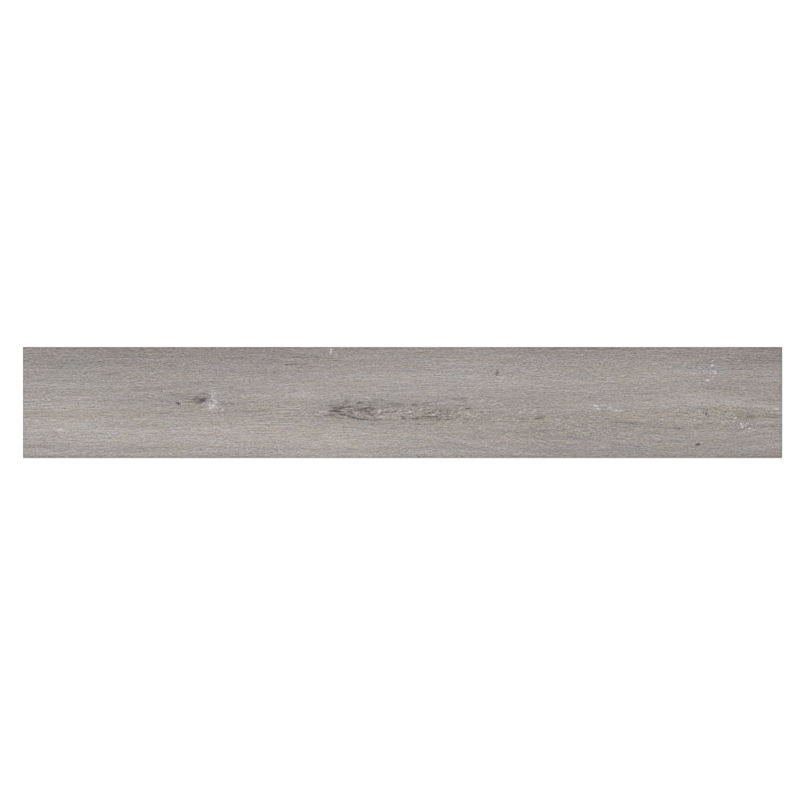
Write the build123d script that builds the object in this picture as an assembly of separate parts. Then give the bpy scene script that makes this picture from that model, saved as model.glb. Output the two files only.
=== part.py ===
"""Glue-down vinyl floor plank: one flat rectangular sheet with square edges and a micro-bevel round its face.

The plank lies flat with its printed face up. The origin is at the centre of its back, +X runs along its
length, +Y across its width and +Z up through its thickness. All sizes are in millimetres.
"""

from build123d import *

import os

# The module that the planks are laid in, edge to edge
LENGTH = 1219.2
WIDTH = 177.8

# From the back, which lies in the adhesive, to the worn face
THICKNESS = 2.5

# The micro-bevel that eases all four edges of the face, across the face and down the edge
BEVEL_ACROSS = 0.9
BEVEL_DOWN = 0.5


def make_plank():
    """The sheet as it is cut from the press, with its four face edges bevelled and mitred at the corners."""
    sheet = extrude(Rectangle(LENGTH, WIDTH), amount=THICKNESS)
    face = sheet.faces().sort_by(Axis.Z)[-1]
    return chamfer(face.edges(), length=BEVEL_ACROSS, length2=BEVEL_DOWN, reference=face)


os.makedirs("parts", exist_ok=True)
export_step(make_plank(), "parts/vinyl_plank.step")
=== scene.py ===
"""Looks of a glue-down vinyl floor plank with a grey, wire-brushed oak print.

The plank is one closed mesh. The vertices of its face carry the embossing and the print's broad tones and
strokes, and its material adds the fine ticking, the grit, the knots and the flecks. The print follows the
grain, which bends round the knots. Places on the face are in pixels of the photograph, and tones are in
levels of its 0 to 255 scale.
"""

import math

import bpy
import numpy as np
from mathutils import Matrix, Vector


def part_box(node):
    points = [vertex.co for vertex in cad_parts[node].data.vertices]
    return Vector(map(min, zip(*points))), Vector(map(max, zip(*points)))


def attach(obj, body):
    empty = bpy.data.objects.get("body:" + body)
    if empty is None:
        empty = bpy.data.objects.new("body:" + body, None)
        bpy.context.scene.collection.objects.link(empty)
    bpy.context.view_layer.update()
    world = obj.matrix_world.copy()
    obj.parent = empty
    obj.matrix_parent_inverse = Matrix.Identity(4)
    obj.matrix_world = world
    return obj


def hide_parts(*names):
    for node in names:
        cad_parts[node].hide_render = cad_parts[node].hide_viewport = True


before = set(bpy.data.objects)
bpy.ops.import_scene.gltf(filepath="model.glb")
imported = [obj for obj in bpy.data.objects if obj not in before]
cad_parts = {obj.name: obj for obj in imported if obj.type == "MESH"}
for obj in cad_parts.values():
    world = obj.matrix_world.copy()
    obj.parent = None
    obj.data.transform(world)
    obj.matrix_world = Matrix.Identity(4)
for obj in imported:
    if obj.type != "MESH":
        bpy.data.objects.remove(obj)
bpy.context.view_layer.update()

NODE = "vinyl_plank"
low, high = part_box(NODE)
LENGTH, WIDTH, _ = high - low

# The photograph's frame, and where the plank lies in it, in pixels
PHOTO_SIDE = 805.0
PHOTO_CENTRE = (402.5, 402.4)
PHOTO_LENGTH = 759.1
PIXEL = LENGTH / PHOTO_LENGTH

# The face mesh: cells along and across the plank, and spare rows of grain that run off its long edges
COLUMNS = 320
ROWS = 288
SPARE_ROWS = 60

# Corners of a quad, and how near two places are taken as one, in metres
CORNERS = 4
TOUCHING = 1e-6

# Where the random draws start
SEED = 48

# What the grain bends round: place, half sizes and how far it pushes the grain aside
SWELLS = {
    "knot": ((203, 399), (26, 9), 1.7),
    "flame": ((392, 413), (66, 12), 2.2),
    "lower_eye": ((566, 436), (50, 15), 2.4),
    "right_arch": ((722, 416), (70, 16), 2.6),
}

# Where the grain leans: place, half sizes and degrees, falling to the right
LEANS = {
    "upper_left_end": ((60, 354), (30, 7), -6),
    "left_rise": ((70, 374), (16, 8), -8),
    "left_fall": ((100, 385), (14, 7), 8),
    "left_of_knot": ((128, 398), (18, 8), -8),
    "left_low_fall": ((105, 417), (28, 6), 6),
    "left_lower": ((95, 445), (60, 10), -5),
    "over_knot": ((192, 381), (16, 12), -6),
    "halo": ((222, 404), (8, 6), -14),
    "right_of_knot": ((240, 371), (22, 10), 14),
    "right_under_knot": ((222, 429), (14, 8), -6),
    "over_flame_left": ((318, 382), (28, 14), -6),
    "over_flame": ((338, 402), (18, 6), -8),
    "upper_middle": ((370, 366), (16, 14), 10),
    "under_flame": ((340, 421), (36, 7), 6),
    "lower_flame": ((315, 447), (40, 8), 10),
    "upper_edge": ((500, 352), (70, 5), -6),
    "cluster": ((425, 402), (30, 8), -8),
    "under_cluster": ((450, 432), (40, 8), 6),
    "upper_tick": ((490, 370), (14, 14), -6),
    "middle": ((518, 402), (14, 8), -10),
    "eye_left": ((532, 441), (24, 10), 14),
    "eye_right": ((580, 424), (14, 10), 14),
    "over_eye": ((580, 392), (12, 18), 6),
    "under_eye": ((610, 441), (12, 8), 9),
    "right_fall": ((668, 368), (14, 10), 7),
    "right_rise": ((700, 364), (12, 8), -6),
    "arch_left": ((700, 408), (16, 10), 5),
    "arch_right": ((736, 410), (18, 12), 14),
    "arch_end": ((764, 398), (14, 8), 12),
    "under_arch": ((700, 446), (10, 8), 6),
    "lower_right": ((745, 441), (24, 8), -8),
}

# The leaning stretches of grain: length, height, and what sets one off from the next along and across
FLOW_LENGTH = 38.0e-3
FLOW_HEIGHT = 17.0e-3
FLOW_STEP = 0.382
FLOW_MOVE = 73.1e-3

# Random grain: smoothing along and across the grain in cells, and strength, in pixels or levels
WAVES = (4.0, 12.0, 0.15)
DASHES = (2.0, 0.9, 2.0)
FIBRE = (8.0, 1.8, 2.6)
BANDS = (36.0, 6.0, 2.1)

# Fine noise is what is left when noise smoothed this many times as far across is taken away
FINE_CONTRAST = 2.5

# The embossing: its depth in metres, its share of that at a mean place, its change with a dash and its limit
PORE_DEPTH = 0.10e-3
PORE_MEAN = 0.5
PORE_CHANGE = -0.4
PORE_LIMIT = 1.3

# The map of the baked textures: its name, how many halves of the face and strips of the sides it holds, and
# how much of its height a half, a strip, the back and a gap take
MAP_NAME = "OFBake"
FACE_HALVES = 2
SIDE_STRIPS = 8
FACE_SHARE = 0.415
SIDE_SHARE = 0.008
BACK_SHARE = 0.07
MAP_GAP = 0.003

# Broad tones: place, half sizes and levels
TONES = {
    "upper_edge": ((400, 346), (900, 8), -8.0),
    "upper_left": ((130, 355), (130, 13), -8.0),
    "upper_right": ((780, 356), (42, 14), -10.0),
    "upper_middle": ((560, 347), (60, 6), -5.0),
    "lower_left": ((170, 432), (170, 10), 13.0),
    "lower_middle": ((320, 446), (110, 14), 7.5),
    "over_flame": ((365, 387), (90, 11), 9.0),
    "left_end": ((64, 405), (46, 14), 7.0),
    "lower_right": ((640, 440), (140, 24), -6.0),
    "lower_corner": ((768, 457), (50, 5), -7.0),
    "knot_shade": ((185, 399), (24, 7), -6.0),
    "right_pale": ((700, 401), (32, 5), 4.0),
    "middle_pale": ((618, 404), (30, 6), 4.0),
    "upper_pale": ((590, 378), (150, 13), 2.0),
    "right_dark": ((750, 376), (30, 14), -5.0),
    "flame_shade": ((356, 411), (24, 7), -9.0),
    "cluster_shade": ((437, 414), (24, 6), -8.0),
    "arch_smudge": ((746, 417), (5, 6), -9.0),
    "halo": ((211.5, 405.5), (5, 5), 13.0),
    "halo_upper": ((215, 393), (3, 3), 6.0),
    "eye_shade": ((560, 449), (10, 4), -6.0),
    "upper_band": ((540, 365), (260, 8), -3.0),
    "right_of_knot": ((262, 360), (36, 14), -6.0),
    "over_left_end": ((75, 364), (60, 7), -4.5),
    "left_pale": ((60, 386), (40, 7), 3.0),
    "lower_left_end": ((60, 445), (50, 9), 5.0),
    "left_streak": ((155, 423), (28, 7), -7.5),
    "middle_band": ((565, 394), (70, 6), 4.5),
    "over_arch": ((706, 403), (26, 6), 3.0),
    "under_middle": ((672, 428), (56, 6), 6.0),
    "lower_edge": ((634, 456), (24, 4), -2.0),
    "upper_edge_pale": ((455, 350), (60, 4), 6.0),
    "over_flame_dark": ((320, 366), (46, 8), -3.5),
    "right_of_halo": ((230, 402), (18, 7), -3.5),
    "left_of_flame": ((303, 401), (14, 8), 3.5),
    "flame_upper": ((358, 400), (34, 4), -4.0),
    "right_of_arch": ((735, 429), (40, 8), 3.5),
    "under_cluster": ((458, 433), (40, 5), -3.0),
    "left_of_eye": ((545, 441), (16, 5), -3.0),
    "upper_line": ((402, 347.6), (2000, 1.2), -12.0),
    "lower_line": ((402, 457.4), (2000, 1.2), -11.0),
    "left_line": ((23.6, 402), (0.9, 2000), -9.0),
    "right_line": ((781.5, 402), (0.9, 2000), -8.0),
}

# Where the grain runs in long even lines, or below 0 in short broken ones: place, half sizes and share
SILKY = {
    "middle": ((345, 413), (95, 22), 0.8),
    "left": ((45, 415), (40, 20), 0.7),
    "over_middle": ((430, 388), (50, 8), 0.6),
    "right": ((745, 390), (40, 12), 0.6),
    "lower_right": ((640, 434), (45, 22), 0.5),
    "upper_edge": ((400, 352), (500, 8), -0.2),
    "lower_edge": ((402, 455), (500, 5), -0.5),
    "knot": ((220, 405), (14, 14), -0.8),
    "round_tick": ((492, 370), (20, 12), -0.8),
    "eye": ((572, 424), (30, 10), -0.5),
    "arch": ((715, 418), (26, 12), -0.5),
    "cluster": ((448, 411), (36, 11), -0.9),
}

# Where the print is more gritty: place, half sizes and share
BOLD = {
    "cluster": ((438, 414), (30, 7), 0.5),
    "flame": ((358, 408), (28, 7), 0.35),
    "halo": ((216, 404), (8, 10), 0.5),
    "lower_dots": ((262, 450), (18, 4), 0.5),
    "arch": ((712, 416), (20, 7), 0.4),
    "arch_flecks": ((746, 426), (10, 5), 0.6),
    "strand": ((710, 372), (8, 10), 0.5),
    "eye": ((575, 422), (20, 8), 0.3),
}

# Broad tints: place, half sizes and levels that red stands over green
ROSY = {
    "left_cool": ((70, 378), (60, 28), -2.2),
    "lower_left_cool": ((40, 440), (40, 12), -1.6),
    "flame_cool": ((358, 404), (40, 14), -2.6),
    "over_flame_cool": ((395, 379), (30, 10), -1.0),
    "upper_cool": ((350, 350), (40, 6), -2.0),
    "upper_right_cool": ((640, 349), (120, 4), -1.8),
    "lower_cool": ((400, 456), (14, 4), -3.0),
    "lower_rosy": ((220, 432), (120, 20), 1.0),
    "right_rosy": ((600, 400), (200, 60), 0.6),
    "halo_cool": ((215, 402), (8, 13), -4.0),
    "knot_rosy": ((200.5, 400), (8, 4), 2.0),
    "strand_cool": ((712, 370), (8, 12), -3.0),
    "fleck_cool": ((607, 408), (16, 4), -3.0),
    "eye_cool": ((584, 440), (14, 8), -2.5),
    "arch_cool": ((735, 402), (20, 4), -2.0),
}

# Broad tints: place, half sizes and levels that green stands over blue
TAN = {
    "long_band": ((400, 418), (900, 10), 1.6),
    "under_flame": ((315, 432), (50, 8), 1.4),
    "lower_eye": ((545, 436), (36, 14), 1.5),
    "upper_tan": ((640, 374), (50, 8), 1.4),
    "arch_tan": ((728, 413), (14, 5), 4.0),
    "arch_blue": ((747, 426), (10, 5), -5.0),
    "left_tan": ((36, 411), (16, 3), 3.0),
    "left_low_tan": ((98, 414), (22, 2), 3.0),
    "orange_dash": ((468, 409), (3, 1), 10.0),
    "middle_tan": ((630, 417), (24, 3), 3.0),
    "halo_blue": ((215, 402), (8, 13), -3.5),
    "strand_blue": ((712, 370), (8, 12), -3.0),
    "fleck_blue": ((607, 408), (16, 4), -3.0),
    "eye_blue": ((584, 440), (14, 8), -3.0),
    "flame_blue": ((390, 411), (50, 7), -1.3),
    "flame_green": ((352, 408), (26, 8), -1.6),
    "under_flame_low": ((345, 436), (60, 8), 1.6),
    "knot_tan": ((187, 402), (10, 6), 3.0),
    "knot_blue": ((200.5, 399.6), (7, 3), -7.0),
    "knot_foot_tan": ((197, 406.6), (7, 2), 4.5),
    "right_of_knot_tan": ((256, 407), (14, 6), 1.2),
    "lower_tan": ((170, 450), (28, 6), 1.8),
    "lower_right_tan": ((670, 447), (24, 5), 1.7),
    "over_eye_tan": ((575, 406), (14, 6), 1.6),
    "lower_edge_blue": ((440, 457), (90, 4), -1.2),
    "middle_blue": ((480, 396), (50, 9), -1.2),
}

# Strokes of the print from end to end, in places and levels: x, y, x, y, half height, levels
FLAME = (
    (336.5, 409, 354, 406, 0.5, -66), (328.5, 408.2, 338, 407, 0.56, -34),
    (327.5, 411.3, 337, 411, 0.56, -45), (333, 411, 342, 411.9, 0.62, -56),
    (323, 415.6, 334, 414.2, 0.5, -43), (347, 416, 354, 417.9, 0.5, -64),
    (352.5, 417.4, 360, 419.4, 0.5, -60), (358, 419.3, 369, 419.4, 0.5, -49),
    (349, 411.8, 354, 412.8, 0.56, -45), (340, 414.6, 347, 415.4, 0.5, -34),
    (343, 404.4, 348.5, 403.6, 0.5, -45), (344, 401.2, 351, 401.6, 0.5, -27),
    (356, 403, 363.5, 403.6, 0.5, -49), (365, 403, 380, 402.6, 0.5, -29),
    (362, 408.5, 373, 407.1, 0.5, -45), (370, 410, 377, 408.4, 0.5, -43),
    (357.5, 410.3, 367, 410.8, 0.5, -36), (352.5, 410.6, 358.5, 411, 0.56, -36),
    (366.5, 411.2, 376, 415.4, 0.5, -29), (368.5, 417.8, 376, 420.6, 0.43, -31),
    (375.5, 420, 380.5, 418.2, 0.43, -38), (369, 423.6, 374, 425.2, 0.5, -45),
    (385, 404.9, 401, 402.8, 0.5, -29), (389, 406.6, 397, 405.3, 0.43, -22),
    (352, 424, 362, 423.2, 0.43, -16), (337, 416.4, 342, 418.8, 0.5, -22),
    (388, 410.5, 393, 410.3, 0.43, -25), (318, 411.7, 328, 412.1, 0.7, 20),
    (328, 409.3, 333, 409.2, 0.43, 22), (344.5, 409.3, 353, 408.5, 0.5, 20),
    (367, 409, 371.5, 410.4, 0.43, 18), (368.5, 416.6, 375.5, 420, 0.37, 20),
    (375.5, 418.6, 381.5, 416.6, 0.37, 18), (362, 414.4, 367.5, 415, 0.43, 18),
    (388, 409.3, 392.5, 408.5, 0.43, 18), (344, 416.6, 347.5, 417.2, 0.5, 16),
    (346, 414.4, 350, 414, 0.5, 14), (357.5, 404.5, 362.5, 404.6, 0.37, 16),
    (350, 402.8, 356, 403, 0.43, 14), (339, 406.8, 346, 405.6, 0.37, -27),
    (347, 410.6, 352, 410, 0.37, -20), (354, 408.4, 361, 407.8, 0.37, -25),
    (356, 406.4, 366, 405.4, 0.37, -22), (366, 405.2, 378, 404.6, 0.37, -22),
    (378, 406.4, 388, 405.4, 0.37, -20), (343, 413, 349, 413.4, 0.37, -22),
    (358, 412.6, 364, 413, 0.37, -22), (356, 415.4, 362, 416.2, 0.37, -25),
    (362, 416.6, 368, 417.6, 0.37, -22), (355, 409.6, 362, 409.2, 0.35, 14),
    (358, 406.9, 368, 406.4, 0.35, 14), (343, 412.2, 349, 412.4, 0.35, 14),
    (364, 404.2, 374, 403.8, 0.35, 12), (353, 415.8, 360, 417.2, 0.35, 14),
    (335, 413.2, 346, 415.2, 0.6, -36), (334, 410.6, 342.5, 411.4, 0.6, -24),
    (338, 408.6, 344, 407.8, 0.6, -24), (346, 411.4, 352, 412.4, 0.7, -30),
    (349, 411, 355.5, 411.2, 0.4, 24), (373, 399.6, 383, 399.2, 0.45, -24),
    (365, 399.4, 369, 399, 0.5, -28), (366, 397.8, 369.5, 397.6, 0.5, 22),
    (332, 395.6, 336.5, 395.4, 0.45, -24), (334, 392.6, 338.5, 392.2, 0.5, 22),
    (335, 395, 339, 395.2, 0.4, 16), (375.5, 393.2, 380, 392.8, 0.5, 20),
    (366, 410.2, 371, 411.6, 0.5, -30), (367, 413, 374, 416.4, 0.6, -26),
    (381, 409.4, 384.5, 409.8, 0.5, -30), (379.5, 414.2, 383, 414.2, 0.5, -28),
    (380.5, 416.4, 384, 416.2, 0.5, 24), (325.5, 414, 330, 413.8, 0.45, 20),
    (323, 417.2, 328, 416.8, 0.5, 18), (353.5, 400.4, 359.5, 400, 0.45, -24),
    (344.5, 400, 349, 399.6, 0.45, -18), (329, 405.8, 337, 404.8, 0.45, -26),
    (352, 405.4, 358, 405, 0.45, -24), (360, 404.6, 364, 404.5, 0.4, 14),
)
CLUSTER = (
    (395, 404.9, 401, 404.6, 0.5, -22), (410.5, 404.7, 418.5, 404.3, 0.56, -56),
    (417, 404.2, 444, 400.5, 0.37, -16), (421.5, 416.4, 429, 416.8, 0.5, -50),
    (428, 417, 436.5, 416.6, 0.5, -52), (416, 420, 419, 416.8, 0.5, -38),
    (440, 410.5, 444.5, 410.3, 0.43, -26), (432, 420.7, 436.5, 421.8, 0.37, -25),
    (436, 421.8, 441, 420.8, 0.37, -25), (433.5, 419.2, 437.5, 420, 0.37, -27),
    (437, 420, 441, 418.6, 0.37, -27), (414.5, 424.2, 421, 424.2, 0.5, -38),
    (452, 399.4, 461, 399, 0.43, -25), (460, 398.8, 467, 398.3, 0.5, -40),
    (456, 406.4, 461, 405, 0.43, -20), (460, 405, 474, 405.5, 0.43, -20),
    (464.8, 408.8, 471.5, 408.7, 0.56, -49), (422.3, 410.3, 426.2, 408.6, 0.43, -29),
    (408, 421.5, 425, 422.5, 0.43, 12), (398.5, 410.4, 402.5, 410.3, 0.56, 20),
    (434, 421, 440, 420, 0.35, 12), (463.5, 414.2, 471, 414.2, 1.2, 22),
    (397.5, 404.4, 403.5, 404.2, 0.5, -28), (407, 414.3, 411, 414.2, 0.5, -28),
    (399, 418.6, 402.2, 418.6, 0.6, 34), (435, 410.5, 438.5, 410.4, 0.5, -26),
    (445.5, 413, 448.5, 413.2, 0.5, -26), (442.5, 417.4, 445.5, 416.6, 0.5, -28),
    (479.5, 413.5, 482.5, 413.3, 0.5, -26), (484.5, 413.4, 487.5, 413.4, 0.5, 22),
    (478, 401.6, 481.5, 401.4, 0.5, 20), (468, 396.8, 471.5, 396.5, 0.5, 18),
    (488.5, 411.6, 492.5, 411.7, 0.5, -22), (401.5, 407.8, 405, 407.4, 0.5, -24),
    (405, 406, 409, 405.8, 0.45, -20), (427, 412.6, 431, 412.4, 0.45, -20),
)
DARK_STREAKS = (
    (103.5, 374.7, 119.5, 374.5, 0.5, -38), (168, 365.4, 179, 365.1, 0.43, -27),
    (92, 362.3, 101, 361.6, 0.43, -18), (56, 366, 65, 366.1, 0.43, -20), (98, 401.5, 112, 399.8, 0.43, -22),
    (124, 397.2, 133, 396, 0.43, -20), (145, 397, 151, 398.4, 0.5, -22),
    (155, 400.2, 163, 400.6, 0.43, -20), (112, 402.5, 124, 400.5, 0.43, -13),
    (167, 393.6, 180, 393.8, 0.43, -22), (222, 403, 234, 402.8, 0.43, -20),
    (258, 410.8, 268, 409.6, 0.5, -27), (240, 411.5, 258, 412.5, 0.43, -13),
    (284, 357.4, 335, 358, 0.37, -36), (286, 364, 298, 364, 0.5, -36), (299, 363.6, 309, 364.2, 0.43, -16),
    (271, 373, 276, 373.2, 0.5, -27), (289, 375.3, 298, 375, 0.43, -25),
    (446, 388.3, 463, 388.2, 0.37, -22), (450, 398.7, 462, 398.4, 0.37, -20),
    (487, 412, 504, 412.6, 0.37, -18), (517.5, 419.5, 529.5, 419.1, 0.43, -34),
    (533.5, 418.6, 545, 418, 0.55, -62), (536.5, 408.3, 539.5, 407.2, 0.5, -34),
    (469, 436.8, 493, 438.6, 0.37, -20), (302, 435.2, 319, 435.4, 0.37, -18),
    (585.5, 397.2, 606.5, 397.8, 0.37, -16), (608, 421.8, 624, 422.8, 0.5, -22),
    (622, 422.6, 638, 424.4, 0.43, -27), (647, 420.8, 658, 420.4, 0.43, -20),
    (637, 424.6, 660, 426.8, 0.37, -13), (612, 434.5, 619.5, 434.9, 0.43, -20),
    (673, 427.5, 682.5, 428.6, 0.56, -36), (703.5, 388.3, 709.5, 388.3, 0.5, -29),
    (719, 387.4, 722, 388.4, 0.56, -34), (709, 388.8, 736, 389.4, 0.37, -16),
    (764.5, 396.8, 773, 401.2, 0.43, -31), (728, 438, 744, 436.4, 0.43, -27),
    (744, 436, 770, 433.6, 0.37, -16), (759.5, 417.1, 781, 417, 0.5, -31),
    (547, 348.6, 564, 348.4, 0.56, -20), (200, 393.4, 209, 394.2, 0.43, -18),
)
PALE_STREAKS = (
    (138, 434.8, 170, 434.6, 0.43, 12), (147.5, 427.3, 153, 427.2, 0.43, 26), (223, 430, 232, 430, 0.5, 20),
    (272, 417.2, 282, 417, 0.43, 18), (297, 394, 318, 393.6, 2, 11), (230, 394.5, 300, 394, 0.62, 7),
    (394, 393, 462, 387.2, 1.2, 8), (460, 387.2, 574, 386, 1.2, 7), (394, 433, 454, 440, 1.2, 9),
    (452, 440, 530, 453, 1.3, 10), (504, 446, 518, 446.4, 0.5, 16), (689, 452.5, 781, 447.5, 0.68, 9),
    (678, 386, 690, 386.4, 0.5, 14), (739, 388.2, 745, 388, 0.43, 22), (80, 411.5, 113, 410.8, 0.56, 10),
    (22, 429.8, 70, 429.2, 1.3, 9), (721, 401.5, 748, 403.5, 1.8, 12), (744, 404, 770, 407, 1.6, 9),
    (322, 440, 345, 440, 1.5, 9), (753, 380.7, 783, 380.7, 0.37, 16),
)
STROKES = FLAME + CLUSTER + DARK_STREAKS + PALE_STREAKS

# A stroke ends where the square of the way along it, in half lengths, is the taper. It is worked out only
# within its reach, in half sizes
STROKE_TAPER = 1.2
STROKE_REACH = 3.5

# Random strokes that fan out from a line: its place, half sizes, their number, lengths, degrees, and mean
# and spread of levels
FANS = {
    "flame": ((356, 410), (20, 5.5), 90, (4.0, 10.0), 11.0, (-5.0, 17.0)),
    "cluster": ((432, 413.5), (26, 5.5), 50, (3.0, 5.0), 3.0, (-2.0, 22.0)),
    "eye": ((572, 424), (24, 7), 40, (3.0, 7.0), -8.0, (0.0, 14.0)),
    "arch": ((722, 414), (26, 7), 50, (3.0, 7.0), -8.0, (0.0, 15.0)),
}
FAN_HEIGHT = 0.42

# Random hairlines over the whole face: their number, lengths, half height, mean and spread of levels, how
# far beside each a fainter line of the opposite tone lies, and how strong that is
HAIRLINES = (2400, (4.0, 11.0), 0.36, (-1.5, 6.0))
HAIRLINE_GAP = 1.5
HAIRLINE_SHARE = -0.45

# Spots of the print: place, half sizes, tilt in degrees, levels
SPOTS = {
    "knot_core": ((204.6, 398.6), (4.6, 2.6), 14, -30),
    "knot_heart": ((201.6, 401), (4.4, 2.6), 20, -26),
    "knot_body": ((200.6, 400.4), (10.5, 5.4), 4, -32),
    "knot_ring": ((200, 398.5), (18, 10), 0, -8),
    "knot_left": ((196.6, 400.6), (5.0, 3.4), 0, -16),
    "knot_arch": ((203.5, 393.6), (7, 1.3), -4, -22),
    "knot_arch_left": ((197.6, 395.4), (3.6, 1.3), 24, -20),
    "knot_arch_pale": ((205, 395.6), (3, 1.2), 0, 16),
    "knot_fleck": ((178.2, 403.5), (3.6, 2.0), -28, -94),
    "knot_fleck_foot": ((174.8, 402), (2.2, 1.2), -10, -22),
    "knot_dot_left": ((191.3, 399.3), (2, 1.6), 0, -24),
    "knot_dot_low": ((192.2, 410.2), (3.4, 1.4), 0, -22),
    "halo_strand": ((212.4, 395.4), (1.3, 7.4), 3, 32),
    "halo_strand_right": ((214.9, 394.6), (1.1, 5.0), 6, 22),
    "halo_curl": ((215.0, 402.0), (2.6, 2.2), 0, 48),
    "halo_foot": ((211.8, 406.2), (5.6, 5.0), 0, 20),
    "halo_speck_left": ((209.0, 404.6), (1.8, 1.3), 0, 32),
    "halo_speck_right": ((213.8, 405.8), (1.3, 2.2), 0, 34),
    "halo_speck_low": ((210.6, 407.8), (2.0, 1.2), 0, 30),
    "halo_gap_upper": ((212.2, 401.4), (1.4, 1.3), 0, -30),
    "halo_gap_lower": ((211.6, 404.8), (1.1, 1.9), 0, -30),
    "halo_dot": ((222.4, 408.9), (1.8, 1.8), 0, 42),
    "flame_start_blue": ((322.5, 411.7), (4.6, 1.2), 0, 12),
    "flame_heart": ((335, 410), (9, 3.4), 0, -11),
    "flame_pool": ((345.8, 417.3), (2.4, 1.2), 0, 26),
    "flame_arc_pale": ((361.3, 414.4), (3.0, 0.9), 10, 28),
    "flame_vein_pale": ((369.3, 417.1), (6.6, 0.9), -22, 34),
    "flame_vein_dark": ((371, 415.2), (5.6, 1.1), -32, -26),
    "flame_fork_pale": ((378.6, 417.8), (4.0, 0.9), 24, 32),
    "flame_fork_dark": ((378.4, 419.5), (3.4, 0.9), 24, -34),
    "cluster_curl": ((440.6, 411), (3.4, 1.0), 0, -34),
    "cluster_curl_right": ((447.6, 412.8), (2.4, 1.0), 20, -24),
    "upright_tick": ((496.8, 372.8), (1.7, 5.4), -8, -66),
    "slant_left": ((520, 412.4), (3.4, 0.9), 44, 26),
    "slant_left_dark": ((517.6, 412.4), (3.6, 0.9), 48, -24),
    "slant_right": ((533.6, 411.4), (4.6, 0.9), 44, 30),
    "slant_right_dark": ((531.2, 410.4), (3.4, 0.8), 44, -16),
    "tick_foot": ((501.5, 378.5), (5, 3.5), 0, 14),
    "pin_upper": ((706.2, 413.7), (1.6, 2.1), 0, -100),
    "pin_upper_left": ((703.2, 413.2), (1.3, 1.4), 0, -50),
    "pin_lower": ((697.8, 444.4), (4.2, 2.2), 6, -76),
    "pin_pale": ((701.7, 442.8), (2.6, 1.7), 0, 35),
    "fleck_one": ((595.8, 405.9), (4.6, 1.6), -14, 54),
    "fleck_two": ((598.8, 409.1), (3.4, 1.5), -14, 43),
    "fleck_three": ((609.8, 407.7), (4, 1.5), 0, 46),
    "fleck_four": ((616, 410.6), (9.5, 1.5), -2, 43),
    "fleck_five": ((602.8, 405.6), (2.4, 1.2), 0, 30),
    "edge_fleck": ((330.8, 351.4), (1.4, 6.4), 0, 58),
    "edge_fleck_foot": ((336.8, 354.4), (1.7, 1.7), 0, 40),
    "edge_fleck_left": ((326.6, 355), (1.9, 1.1), 0, 30),
    "strand_top": ((713, 360.7), (1.6, 1.8), 0, 50),
    "strand_upper": ((712.2, 365.4), (2.2, 3), 0, 43),
    "strand_middle": ((715.5, 372.6), (1.8, 3.2), 0, 46),
    "strand_foot": ((707.4, 380.2), (3.4, 2), 0, 38),
    "arch_fleck_one": ((740.8, 424), (1.9, 1.5), -30, 64),
    "arch_fleck_two": ((742.2, 426.6), (1.6, 1.9), 0, 64),
    "arch_fleck_three": ((746.6, 424), (2, 1.1), 0, 46),
    "arch_fleck_four": ((748.4, 428.4), (2.8, 1.3), 0, 54),
    "arch_fleck_five": ((754.6, 429.8), (3.4, 1.2), 0, 46),
    "arch_fleck_six": ((739, 428.6), (1.6, 1.1), 0, 24),
    "arch_fleck_seven": ((756, 426), (2.2, 1.3), 0, 42),
    "arch_gap_one": ((744.4, 428.8), (1.8, 1.1), 0, -24),
    "arch_gap_two": ((750.6, 425.8), (2.4, 1.1), 0, -20),
    "end_fleck": ((776, 409), (6, 1.5), 0, 34),
    "left_fleck": ((60, 429.6), (5, 1.6), 0, 24),
    "cluster_fleck_one": ((409.2, 411.9), (3, 2), 0, 54),
    "cluster_fleck_two": ((421.1, 409.8), (2.2, 1.6), 0, 40),
    "cluster_fleck_three": ((433.2, 414.7), (2.4, 1.1), 0, 40),
    "cluster_fleck_four": ((417.5, 415), (2.2, 1.3), 0, 32),
    "cluster_fleck_five": ((459.5, 409.3), (1.8, 1.3), 0, 32),
    "cluster_fleck_six": ((456.5, 420.4), (1.6, 1.4), 0, 30),
    "cluster_fleck_seven": ((461.1, 422.6), (1.8, 1.3), 0, 26),
    "cluster_fleck_eight": ((455.2, 413.9), (1.8, 1.2), 0, 26),
    "cluster_dark_one": ((436.8, 416.6), (3.0, 1.3), 0, -46),
    "cluster_dark_two": ((439.6, 415), (2.2, 1.1), 8, -40),
    "cluster_dark_three": ((441.9, 413.2), (2.2, 1.1), 0, -42),
    "cluster_dark_four": ((403.4, 418.5), (3.4, 1.3), 0, -58),
    "cluster_dark_five": ((412.4, 418.4), (3.4, 1.3), 0, -50),
    "cluster_dark_six": ((446.8, 410.6), (1.5, 1.8), 0, -32),
    "cluster_dark_seven": ((449.4, 419.6), (2.4, 1.2), 10, -32),
    "cluster_dark_eight": ((456.5, 417.7), (1.8, 1.3), 0, -36),
    "cluster_dark_nine": ((450.6, 422.6), (2.4, 1.2), 0, -30),
    "cluster_dark_ten": ((463.3, 422.6), (1.9, 1.4), 0, -36),
    "cluster_dark_eleven": ((424, 419.6), (2.2, 1.1), 0, -26),
    "flame_fleck": ((379.2, 411.6), (2.6, 2.0), 0, 36),
    "flame_glint": ((356.3, 413.4), (2.6, 1.1), 0, 32),
    "flame_dot": ((382.3, 413.2), (1.4, 2.4), 0, -30),
    "upper_right_fleck": ((684, 365.6), (3.2, 1.2), 0, 26),
    "upper_edge_fleck": ((548.6, 349.7), (3, 1.1), 0, 26),
}

# How far the spots' edges wander along and across, in pixels, and the cells of that noise, in metres
SPOT_WANDER = (1.4, 0.6)
SPOT_CELLS = (4.0e-3, 1.6e-3)

# The shares of its half sizes where a spot begins and where it is full
SPOT_FALL = (1.0, 0.1)

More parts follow.
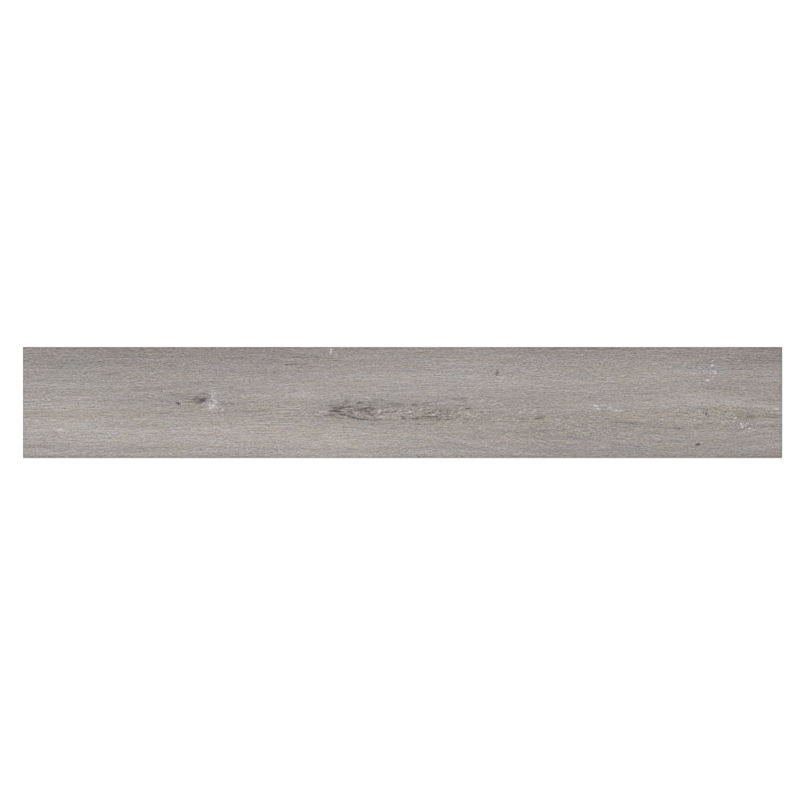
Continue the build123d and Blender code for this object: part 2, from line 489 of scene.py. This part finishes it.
# The print's base level of green, and how far red stands over it and blue under it
FACE_GREEN = 145.4
FACE_ROSY = 8.0
FACE_TAN = 4.45

# The ticking of the print: cells along and across in metres, strength in levels, and its change where silky
TICKS = (6.0e-3, 0.85e-3, 16.6, -0.35)
LINES = (30.0e-3, 0.85e-3, 12.0, 0.6)

# How far the ticks break the lines up, and how far beside each line its opposite tone lies, in metres
LINE_BREAKS = -0.5
TICK_GAP = 1.6e-3

# What sets a line of ticking off from the next, along and across the noise, and where the two start to blend
LINE_STEP = (0.618, 17.37)
LINE_BLEND = 0.35

# The turn of the other noise's lattice, in radians
NOISE_TURN = (0.6, 0.5, 0.35)

# The grit of the print: cells along and across in metres, and strength in levels
GRIT = (1.25e-3, 1.25e-3, 49.0)

# The drift of its hue: cells along and across in metres, and levels of red, green and blue
HUES = (18.0e-3, 6.0e-3, (3.2, 0.0, 5.4))
HAZE = (44.0e-3, 14.0e-3, (-1.9, 0.7, 2.4))

# The values of the noise where the haze begins and where it is full
HAZE_FALL = (0.1, 0.5)

# Pale flecks are less tinted: the levels from which and at which, and the change of tint there
NEUTRAL_FROM = FACE_GREEN + 26.0
NEUTRAL_AT = FACE_GREEN + 60.0
NEUTRAL_CHANGE = -0.6

# The bevel's paint: levels over the print, and strength of its streaks in levels
BEVEL_LEVELS = -22.0
BEVEL_STREAKS = 12.0

# The vinyl of the edges and the back: red, green and blue levels, and what varies them: cells and strength
VINYL_LEVELS = (132.0, 128.0, 123.0)
CLOUDS = (60.0e-3, 60.0e-3, 8.0)
SPECKS = (1.1e-3, 1.1e-3, 14.0)

# Finishes: roughness, its change with the pattern, and the pattern's relief in metres
PRINT_FINISH = (0.52, -0.10, 0.03e-3)
BEVEL_FINISH = (0.6, 0.1, 0.03e-3)
VINYL_FINISH = (0.66, 0.12, 0.06e-3)

# How levels become linear light
TOP_LEVEL = 255
DISPLAY_GAMMA = 2.2

# The stage: the floor's side and gap under the plank in metres, its colour and its glow where seen
FLOOR_SIDE = 40.0
FLOOR_GAP = 0.2e-3
FLOOR_COLOUR = 0.8
FLOOR_LIFT = 0.28

# Light that falls on things: the sky's share and the lamp's, and the lamp's tilt, turn and softness
SKY_LIGHT = 0.6
KEY_LIGHT = 0.4
KEY_TILT = math.radians(35)
KEY_TURN = math.radians(220)
KEY_SPREAD = math.radians(50)

# The camera's lens and sensor, in millimetres
LENS = 100.0
SENSOR = 36.0


def place(px, py):
    """A pixel of the photograph as metres on the plank's face."""
    return (px - PHOTO_CENTRE[0]) * PIXEL, (PHOTO_CENTRE[1] - py) * PIXEL


def bevel_size():
    """How far the bevel of the solid reaches across its face and down its edge."""
    points = np.array([v.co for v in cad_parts[NODE].data.vertices])
    on_face = points[:, 2] > high.z - TOUCHING
    across = high.x - points[on_face, 0].max()
    down = high.z - points[~on_face, 2].max()
    return float(across), float(down)


def bell(px, py, centre, half):
    """1 at a place on the face, falling off smoothly over its half sizes."""
    return np.exp(-0.5 * (((px - centre[0]) / half[0]) ** 2 + ((py - centre[1]) / half[1]) ** 2))


def patches(px, py, table):
    """The sum of a table's soft patches."""
    return sum(amount * bell(px, py, centre, half) for centre, half, amount in table.values())


def fans(rng):
    """The random strokes of the fans, from end to end as the listed ones are."""
    made = []
    for centre, half, count, lengths, degrees, (mean, deviation) in FANS.values():
        for _ in range(count):
            aside = rng.uniform(-1, 1, 2) + rng.uniform(-1, 1, 2)
            x, y = centre + aside * half
            reach = rng.uniform(*lengths) / 2
            lean = math.radians(degrees * aside[1])
            dx, dy = reach * math.cos(lean), reach * math.sin(lean)
            made.append((x - dx, y - dy, x + dx, y + dy, FAN_HEIGHT, rng.normal(mean, deviation)))
    return made


def hairlines(px, py, rng):
    """The random hairlines, from end to end, each leaning as the grain does there."""
    count, lengths, height, (mean, deviation) = HAIRLINES
    x = rng.uniform(px.min(), px.max(), count)
    y = rng.uniform(py.min(), py.max(), count)
    reach = rng.uniform(*lengths, count) / 2
    rise = reach * np.tan(np.radians(patches(x, y, LEANS)))
    levels = rng.normal(mean, deviation, count)
    heights = np.full(count, height)
    made = []
    for gap, share in ((0, 1), (HAIRLINE_GAP, HAIRLINE_SHARE)):
        ends = (x - reach, y + gap - rise, x + reach, y + gap + rise)
        made.append(np.stack([*ends, heights, share * levels], -1))
    return np.concatenate(made)


def strokes(px, py, table):
    """The sum of a table's strokes, each tapered to its ends."""
    total = np.zeros_like(px)
    for x0, y0, x1, y1, height, levels in table:
        half = math.hypot(x1 - x0, y1 - y0) / 2
        cos = (x1 - x0) / (2 * half)
        sin = (y1 - y0) / (2 * half)
        x, y = (x0 + x1) / 2, (y0 + y1) / 2
        reach_x = STROKE_REACH * (abs(half * cos) + height)
        reach_y = STROKE_REACH * (abs(half * sin) + height)
        columns = slice(*np.searchsorted(px[0], (x - reach_x, x + reach_x)))
        rows = slice(*np.searchsorted(-py[:, 0], (-y - reach_y, -y + reach_y)))
        dx = px[rows, columns] - x
        dy = py[rows, columns] - y
        along = (dx * cos + dy * sin) / half
        across = (dy * cos - dx * sin) / height
        total[rows, columns] += levels * np.clip(STROKE_TAPER - along**2, 0, 1) * np.exp(-0.5 * across**2)
    return total


def spread(size, sigma):
    """A square matrix that smooths a line of that many values."""
    steps = np.arange(size)
    weights = np.exp(-0.5 * ((steps[:, None] - steps[None, :]) / sigma) ** 2)
    return weights / weights.sum(1, keepdims=True)


def grain_noise(rng, along, across, fine=False):
    """Random values on straight lines of grain, smoothed along and across, with a mean of 0 and a spread of
    1. Fine noise keeps only what changes from each line to the next."""
    rows = ROWS + 1 + 2 * SPARE_ROWS
    noise = rng.standard_normal((rows, COLUMNS + 1)) @ spread(COLUMNS + 1, along).T
    smooth = spread(rows, across) @ noise
    if fine:
        smooth -= spread(rows, FINE_CONTRAST * across) @ noise
    return (smooth - smooth.mean()) / smooth.std()


def grain_push(px, py, rng):
    """How far the line of grain at each place has been pushed down the photograph, in pixels. A swell pushes
    most at its half height."""
    along, across, height = WAVES
    push = height * grain_noise(rng, along, across)[SPARE_ROWS:-SPARE_ROWS]
    for centre, half, reach in SWELLS.values():
        below = (py - centre[1]) / half[1]
        push += reach * below * math.exp(0.5) * bell(px, py, centre, half)
    return push


def along_grain(noise, rows):
    """Values of the noise at those rows of each column, read between its rows."""
    lower = np.floor(rows).astype(int)
    share = rows - lower
    column = np.arange(noise.shape[1])
    return (1 - share) * noise[lower, column] + share * noise[lower + 1, column]


def face_values(x, y):
    """What each vertex of the face carries for the materials, and how deep it is embossed, 0 at the rim."""
    rng = np.random.default_rng(SEED)
    px = PHOTO_CENTRE[0] + x / PIXEL
    py = PHOTO_CENTRE[1] - y / PIXEL
    push = grain_push(px, py, rng) * PIXEL
    grain_row = SPARE_ROWS + np.arange(ROWS + 1)[:, None] + push * ROWS / (y[-1, 0] - y[0, 0])
    dashes = along_grain(grain_noise(rng, *DASHES[:2], fine=True), grain_row)
    fibre = along_grain(grain_noise(rng, *FIBRE[:2]), grain_row)
    bands = along_grain(grain_noise(rng, *BANDS[:2]), grain_row)

    tone = FACE_GREEN + patches(px, py, TONES)
    tone += strokes(px, py, [*STROKES, *fans(rng), *hairlines(px, py, rng)])
    tone += DASHES[2] * dashes + FIBRE[2] * fibre + BANDS[2] * bands
    zero = np.zeros_like(x)
    values = {
        "tone": tone,
        "grain": np.stack([x, y + push, zero], -1),
        "hue": np.stack([FACE_ROSY + patches(px, py, ROSY), zero, -FACE_TAN - patches(px, py, TAN)], -1),
        "silky": np.clip(patches(px, py, SILKY), -1, 1),
        "bold": patches(px, py, BOLD),
        "lean": np.tan(np.radians(patches(px, py, LEANS))),
    }

    depth = PORE_DEPTH * np.clip(PORE_MEAN + PORE_CHANGE * dashes, 0, PORE_LIMIT)
    depth[[0, -1]] = 0
    depth[:, [0, -1]] = 0
    return values, depth


class Shader:
    """A material's nodes, made and linked one after the other."""

    def __init__(self, name):
        self.material = bpy.data.materials.new(name)
        self.material.use_nodes = True
        self.tree = self.material.node_tree
        self.tree.nodes.clear()
        self.surface = self.node("ShaderNodeBsdfPrincipled")
        output = self.node("ShaderNodeOutputMaterial")
        self.link(self.surface.outputs[0], output.inputs["Surface"])

    def node(self, kind, **settings):
        """A new node with those settings."""
        made = self.tree.nodes.new(kind)
        for key, value in settings.items():
            setattr(made, key, value)
        return made

    def link(self, source, target):
        self.tree.links.new(source, target)

    def feed(self, made, values):
        """Links outputs to a node's inputs, by name or number, or sets those inputs to plain values."""
        for key, value in values.items():
            if isinstance(value, bpy.types.NodeSocket):
                self.link(value, made.inputs[key])
            else:
                made.inputs[key].default_value = value

    def math(self, operation, *values):
        """A number worked out from others."""
        made = self.node("ShaderNodeMath", operation=operation)
        self.feed(made, dict(enumerate(values)))
        return made.outputs[0]

    def plus(self, base, pattern, strength):
        """A number with a pattern added at that strength."""
        return self.math("MULTIPLY_ADD", pattern, strength, base)

    def vector(self, operation, *values):
        """A vector worked out from others, or the number that a dot product gives."""
        made = self.node("ShaderNodeVectorMath", operation=operation)
        self.feed(made, dict(enumerate(values)))
        return made.outputs["Value" if operation == "DOT_PRODUCT" else "Vector"]

    def attribute(self, name, output):
        """What the vertices carry under that name."""
        return self.node("ShaderNodeAttribute", attribute_name=name).outputs[output]

    def mapping(self, vector, **values):
        """A vector turned and scaled."""
        made = self.node("ShaderNodeMapping")
        self.feed(made, {"Vector": vector, **values})
        return made.outputs[0]

    def fall(self, value, start, end):
        """A smooth step from 0 at start to 1 at end."""
        made = self.node("ShaderNodeMapRange", interpolation_type="SMOOTHSTEP")
        self.feed(made, {"Value": value, "From Min": start, "From Max": end})
        return made.outputs[0]

    def texture(self, vector, detail, dimensions="3D"):
        """A texture of noise from about -1 to 1, in cells 1 wide."""
        made = self.node("ShaderNodeTexNoise", noise_dimensions=dimensions, normalize=False)
        self.feed(made, {"Vector": vector, "Scale": 1.0, "Detail": detail})
        return made

    def noise(self, vector, cells, detail=0.0, output="Fac"):
        """Noise whose lattice is turned, so that none of its lines run along or across."""
        along, across = cells
        turned = self.mapping(vector, Scale=(1 / along, 1 / across, 1 / across), Rotation=NOISE_TURN)
        return self.texture(turned, detail).outputs[output]

    def grit(self, vector, cells):
        """Random values in small soft cells, about 0."""
        made = self.node("ShaderNodeTexVoronoi", voronoi_dimensions="2D", feature="SMOOTH_F1")
        scaled = self.mapping(vector, Scale=(1 / cells[0], 1 / cells[1], 1))
        self.feed(made, {"Vector": scaled, "Scale": 1.0})
        return self.math("SUBTRACT", made.outputs["Color"], 0.5)

    def flows(self, grain, lean):
        """The grain twice over, as x, y and weight, in stretches that each lean about their own middle. The
        weights hide the ends of one's stretches under the middles of the other's."""
        parts = self.node("ShaderNodeSeparateXYZ")
        self.link(grain, parts.inputs[0])
        x, y, _ = parts.outputs
        band = self.math("FLOOR", self.math("MULTIPLY", y, 1 / FLOW_HEIGHT))
        along = self.plus(self.math("MULTIPLY", band, FLOW_STEP), x, 1 / FLOW_LENGTH)
        made = []
        for phase in (0.0, 0.5):
            at = self.math("ADD", along, phase)
            offset = self.math("SUBTRACT", self.math("FRACT", at), 0.5)
            level = self.plus(y, self.math("MULTIPLY", offset, FLOW_LENGTH), lean)
            moved = self.plus(level, self.math("FLOOR", at), FLOW_MOVE)
            weight = self.math("COSINE", self.math("MULTIPLY", offset, math.pi))
            made.append((x, moved, weight))
        return made

    def line_noise(self, flows, cells, detail):
        """Noise on separate lines, each with values of its own that blend into those of the next."""
        total = 0.0
        for x, y, weight in flows:
            along = self.math("MULTIPLY", x, 1 / cells[0])
            height = self.math("MULTIPLY", y, 1 / cells[1])
            number = self.math("FLOOR", height)
            values = []
            for line in (number, self.math("ADD", number, 1.0)):
                at = self.node("ShaderNodeCombineXYZ")
                shifted = self.plus(along, line, LINE_STEP[0])
                aside = self.math("MULTIPLY", line, LINE_STEP[1])
                self.feed(at, {"X": shifted, "Y": aside})
                values.append(self.texture(at.outputs[0], detail, "2D").outputs["Fac"])
            share = self.fall(self.math("FRACT", height), LINE_BLEND, 1.0 - LINE_BLEND)
            change = self.math("SUBTRACT", values[1], values[0])
            value = self.plus(values[0], change, share)
            total = self.plus(total, value, weight)
        return total

    def ticking(self, flows, cells, detail=0.0):
        """Lines of noise with a line of the opposite tone beside each."""
        lines = self.line_noise(flows, cells, detail)
        beside = [(x, self.math("ADD", y, TICK_GAP), weight) for x, y, weight in flows]
        return self.math("SUBTRACT", lines, self.line_noise(beside, cells, detail))

    def paint(self, levels):
        """Gives the surface a colour in levels, as linear light."""
        gamma = self.node("ShaderNodeGamma")
        shares = self.vector("MULTIPLY", levels, (1 / TOP_LEVEL,) * 3)
        self.feed(gamma, {"Color": shares, "Gamma": DISPLAY_GAMMA})
        self.link(gamma.outputs[0], self.surface.inputs["Base Color"])

    def finish(self, pattern, rough, rough_change, height):
        """A roughness and a relief that follow a pattern."""
        self.link(self.plus(rough, pattern, rough_change), self.surface.inputs["Roughness"])
        bump = self.node("ShaderNodeBump")
        self.feed(bump, {"Distance": height, "Height": pattern})
        self.link(bump.outputs[0], self.surface.inputs["Normal"])


def add_spots(shader, tone, grain):
    """Adds the knots and flecks to the tone, with edges that wander a little."""
    here = shader.node("ShaderNodeTexCoord").outputs["Object"]
    ragged = shader.noise(grain, SPOT_CELLS, detail=1.0, output="Color")
    wander = (SPOT_WANDER[0] * PIXEL, SPOT_WANDER[1] * PIXEL, 0)
    here = shader.vector("MULTIPLY_ADD", ragged, wander, here)
    for centre, half, tilt, levels in SPOTS.values():
        turn = Matrix.Rotation(math.radians(tilt), 3, "Z")
        offset = shader.vector("SUBTRACT", here, (*place(*centre), 0))
        along = shader.vector("DOT_PRODUCT", offset, turn.col[0] / (half[0] * PIXEL))
        across = shader.vector("DOT_PRODUCT", offset, turn.col[1] / (half[1] * PIXEL))
        square = shader.plus(shader.math("MULTIPLY", across, across), along, along)
        inside = shader.fall(shader.math("SQRT", square), *SPOT_FALL)
        tone = shader.plus(tone, inside, levels)
    return tone


def tinted(shader, tone, grain):
    """The tone as levels of red, green and blue, with a hue that drifts and that pale flecks lose."""
    hue = shader.attribute("hue", "Vector")
    hue = shader.vector("MULTIPLY_ADD", shader.noise(grain, HUES[:2], output="Color"), HUES[2], hue)
    haze = shader.fall(shader.noise(grain, HAZE[:2], detail=1.0), *HAZE_FALL)
    hue = shader.vector("MULTIPLY_ADD", haze, HAZE[2], hue)
    pale = shader.fall(tone, NEUTRAL_FROM, NEUTRAL_AT)
    return shader.vector("MULTIPLY_ADD", hue, shader.plus(1.0, pale, NEUTRAL_CHANGE), tone)


def oak_print():
    """The printed face under its clear wear layer."""
    shader = Shader("oak_print")
    grain = shader.attribute("grain", "Vector")
    flows = shader.flows(grain, shader.attribute("lean", "Fac"))
    ticks = shader.ticking(flows, TICKS[:2], detail=1.0)
    lines = shader.ticking(flows, LINES[:2])
    lines = shader.math("MULTIPLY", lines, shader.plus(1.0, ticks, LINE_BREAKS))
    tone = shader.attribute("tone", "Fac")
    silky = shader.attribute("silky", "Fac")
    for pattern, (strength, change) in ((ticks, TICKS[2:]), (lines, LINES[2:])):
        strength = shader.plus(strength, silky, strength * change)
        tone = shader.plus(tone, pattern, strength)
    gritty = shader.plus(GRIT[2], shader.attribute("bold", "Fac"), GRIT[2])
    tone = shader.plus(tone, shader.grit(grain, GRIT[:2]), gritty)
    tone = add_spots(shader, tone, grain)
    shader.paint(tinted(shader, tone, grain))
    shader.finish(ticks, *PRINT_FINISH)
    return shader.material


def bevel_paint():
    """The micro-bevel, where the print goes on under a darker paint."""
    shader = Shader("bevel_paint")
    grain = shader.attribute("grain", "Vector")
    streaks = shader.noise(grain, LINES[:2], detail=2.0)
    tone = shader.math("ADD", shader.attribute("tone", "Fac"), BEVEL_LEVELS)
    tone = shader.plus(tone, streaks, BEVEL_STREAKS)
    shader.paint(shader.vector("ADD", shader.attribute("hue", "Vector"), tone))
    shader.finish(streaks, *BEVEL_FINISH)
    return shader.material


def vinyl_body():
    """The filled vinyl of the edges and the back, with its filler's specks and the press's fine texture."""
    shader = Shader("vinyl_body")
    here = shader.node("ShaderNodeTexCoord").outputs["Object"]
    clouds = shader.noise(here, CLOUDS[:2], detail=3.0)
    specks = shader.noise(here, SPECKS[:2], detail=2.0)
    tone = shader.plus(shader.math("MULTIPLY", specks, SPECKS[2]), clouds, CLOUDS[2])
    shader.paint(shader.vector("ADD", tone, VINYL_LEVELS))
    shader.finish(specks, *VINYL_FINISH)
    return shader.material


def border(index):
    """The vertices round a grid of indices, anticlockwise seen from above."""
    return np.concatenate([index[0, :-1], index[:-1, -1], index[-1, :0:-1], index[:0:-1, 0]])


def ring(upper, lower):
    """The quads between two closed rows of vertices."""
    return np.column_stack([upper, lower, np.roll(lower, -1), np.roll(upper, -1)])


def back_faces(foot):
    """The back, within the vertices round it: quads across it, and polygons at its left and right ends."""
    near = foot[:COLUMNS + 1]
    far = foot[COLUMNS + ROWS:2 * COLUMNS + ROWS + 1][::-1]
    strips = np.column_stack([near[1:-2], far[1:-2], far[2:-1], near[2:-1]])
    left_end = np.concatenate([near[1::-1], foot[:2 * COLUMNS + ROWS - 1:-1], far[1:2]])
    right_end = np.concatenate([far[-2:-1], foot[COLUMNS + ROWS:COLUMNS - 1:-1], near[-2:-1]])
    return strips, left_end, right_end


def bake_places(corner_points, cell_count):
    """A map for the baked textures, for the corners of the face, the bevels, the edges and the back in that
    order: the face in two halves, one over the other, then each side's strips, then the back."""
    heights = [FACE_SHARE] * FACE_HALVES + [SIDE_SHARE] * SIDE_STRIPS + [BACK_SHARE]
    starts = MAP_GAP / 2 + np.cumsum([0] + [height + MAP_GAP for height in heights])
    x = 2 * corner_points[:, 0] / LENGTH
    y = 2 * corner_points[:, 1] / WIDTH
    u = 0.5 - x / 2
    v = starts[-2] + BACK_SHARE * (y + 1) / 2

    at = CORNERS * cell_count
    right = np.repeat(x[:at].reshape(-1, CORNERS).mean(1) > 0, CORNERS)
    u[:at] = np.where(right, x[:at], x[:at] + 1)
    v[:at] = starts[right.astype(int)] + FACE_SHARE * (y[:at] + 1) / 2

    for strip, start in enumerate(starts[FACE_HALVES:-2]):
        steps = (COLUMNS, ROWS)[strip % 2]
        end = at + CORNERS * steps
        u[at:end] = ((np.arange(steps)[:, None] + [0, 0, 1, 1]) / steps).ravel()
        v[at:end] = start + SIDE_SHARE * np.tile([1, 0, 0, 1], steps)
        at = end
    return np.stack([MAP_GAP + (1 - 2 * MAP_GAP) * u, v], -1)


def polygon_mesh(points, corners, starts, materials):
    """A mesh of polygons, each from its start in the list of corners, with the number of its material."""
    mesh = bpy.data.meshes.new("embossed_plank")
    mesh.vertices.add(len(points))
    mesh.vertices.foreach_set("co", points.astype(np.float32).ravel())
    mesh.loops.add(len(corners))
    mesh.loops.foreach_set("vertex_index", corners.astype(np.int32))
    mesh.polygons.add(len(starts))
    mesh.polygons.foreach_set("loop_start", starts.astype(np.int32))
    mesh.polygons.foreach_set("material_index", materials.astype(np.int32))
    mesh.update(calc_edges=True)
    mesh.validate()
    return mesh


def carry(mesh, name, values, rim):
    """Puts the face's values on the vertices, with the rim's own on those beside and below it."""
    kind, field = ("FLOAT_VECTOR", "vector") if values.ndim == 3 else ("FLOAT", "value")
    values = values.reshape((ROWS + 1) * (COLUMNS + 1), -1)
    values = np.concatenate([values, values[rim], values[rim]])
    mesh.attributes.new(name, kind, "POINT").data.foreach_set(field, values.astype(np.float32).ravel())


def make_plank():
    """The plank as one closed mesh: embossed face, bevel, square edges and back."""
    across, down = bevel_size()
    half_length = LENGTH / 2 - across
    half_width = WIDTH / 2 - across
    x, y = np.meshgrid(np.linspace(-half_length, half_length, COLUMNS + 1),
                       np.linspace(-half_width, half_width, ROWS + 1))
    values, depth = face_values(x, y)
    face = np.stack([x, y, high.z - depth], -1).reshape(-1, 3)

    index = np.arange(len(face)).reshape(x.shape)
    rim = border(index)
    count = len(rim)
    at_edge = np.abs(face[rim, :2]) > [half_length - TOUCHING, half_width - TOUCHING]
    outline = face[rim, :2] + across * np.sign(face[rim, :2]) * at_edge
    shoulder = np.column_stack([outline, np.full(count, high.z - down)])
    foot = np.column_stack([outline, np.full(count, low.z)])
    points = np.concatenate([face, shoulder, foot])
    shoulder_index = len(face) + np.arange(count)
    foot_index = shoulder_index + count

    cells = np.stack([index[:-1, :-1], index[:-1, 1:], index[1:, 1:], index[1:, :-1]], -1)
    cells = cells.reshape(-1, CORNERS)
    strips, left_end, right_end = back_faces(foot_index)
    quads = np.concatenate([cells, ring(rim, shoulder_index), ring(shoulder_index, foot_index), strips])
    corners = np.concatenate([quads.ravel(), left_end, right_end])
    starts = np.append(np.arange(len(quads) + 1) * CORNERS, CORNERS * len(quads) + len(left_end))
    materials = np.repeat([0, 1, 2], [len(cells), count, len(starts) - len(cells) - count])

    mesh = polygon_mesh(points, corners, starts, materials)
    for name, carried in values.items():
        carry(mesh, name, carried, rim)
    places = bake_places(points[corners], len(cells))
    mesh.uv_layers.new(name=MAP_NAME).data.foreach_set("uv", places.astype(np.float32).ravel())
    mesh.polygons.foreach_set("use_smooth", materials == 0)
    for material in (oak_print(), bevel_paint(), vinyl_body()):
        mesh.materials.append(material)
    plank = bpy.data.objects.new("embossed_plank", mesh)
    bpy.context.scene.collection.objects.link(plank)
    return plank


def seen_directly(tree):
    """1 for rays from the camera and for mirrored or passed ones, 0 for light that falls on things."""
    nodes, links = tree.nodes, tree.links
    path = nodes.new("ShaderNodeLightPath")
    total = path.outputs["Is Camera Ray"]
    for other in ("Is Glossy Ray", "Is Transmission Ray"):
        either = nodes.new("ShaderNodeMath")
        either.operation = "MAXIMUM"
        links.new(total, either.inputs[0])
        links.new(path.outputs[other], either.inputs[1])
        total = either.outputs[0]
    return total


def make_floor():
    """The pale floor, which glows a little where it is seen, so that it is white there."""
    half = FLOOR_SIDE / 2
    z = low.z - FLOOR_GAP
    mesh = bpy.data.meshes.new("floor")
    corners = [(-half, -half, z), (half, -half, z), (half, half, z), (-half, half, z)]
    mesh.from_pydata(corners, [], [(0, 1, 2, 3)])
    floor = bpy.data.objects.new("floor", mesh)
    bpy.context.scene.collection.objects.link(floor)
    material = bpy.data.materials.new("pale_floor")
    material.use_nodes = True
    tree = material.node_tree
    surface = tree.nodes["Principled BSDF"]
    surface.inputs["Base Color"].default_value = (FLOOR_COLOUR, FLOOR_COLOUR, FLOOR_COLOUR, 1)
    surface.inputs["Roughness"].default_value = 1.0
    surface.inputs["Specular IOR Level"].default_value = 0.0
    surface.inputs["Emission Color"].default_value = (1, 1, 1, 1)
    lift = tree.nodes.new("ShaderNodeMath")
    lift.operation = "MULTIPLY"
    lift.inputs[1].default_value = FLOOR_LIFT
    tree.links.new(seen_directly(tree), lift.inputs[0])
    tree.links.new(lift.outputs[0], surface.inputs["Emission Strength"])
    mesh.materials.append(material)


def make_light():
    """The white sky, full where it is seen, and the lamp."""
    world = bpy.data.worlds.new("studio")
    world.use_nodes = True
    tree = world.node_tree
    background = tree.nodes["Background"]
    background.inputs["Color"].default_value = (1, 1, 1, 1)
    strength = tree.nodes.new("ShaderNodeMapRange")
    tree.links.new(seen_directly(tree), strength.inputs["Value"])
    strength.inputs["To Min"].default_value = SKY_LIGHT
    strength.inputs["To Max"].default_value = 1.0
    tree.links.new(strength.outputs[0], background.inputs["Strength"])
    bpy.context.scene.world = world
    lamp = bpy.data.lights.new("key", "SUN")
    lamp.energy = KEY_LIGHT * math.pi / math.cos(KEY_TILT)
    lamp.angle = KEY_SPREAD
    key = bpy.data.objects.new("key", lamp)
    key.rotation_euler = (KEY_TILT, 0, KEY_TURN)
    bpy.context.scene.collection.objects.link(key)


def make_camera():
    """The camera, straight over the middle of the photograph."""
    lens = bpy.data.cameras.new("camera")
    lens.lens = LENS
    lens.sensor_width = SENSOR
    camera = bpy.data.objects.new("camera", lens)
    x, y = place(PHOTO_SIDE / 2, PHOTO_SIDE / 2)
    camera.location = (x, y, high.z + PHOTO_SIDE * PIXEL * LENS / SENSOR)
    bpy.context.scene.collection.objects.link(camera)
    bpy.context.scene.camera = camera


plank = make_plank()
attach(plank, "root")
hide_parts(NODE)

make_floor()
make_light()
make_camera()
bpy.context.scene.view_settings.view_transform = "Standard"
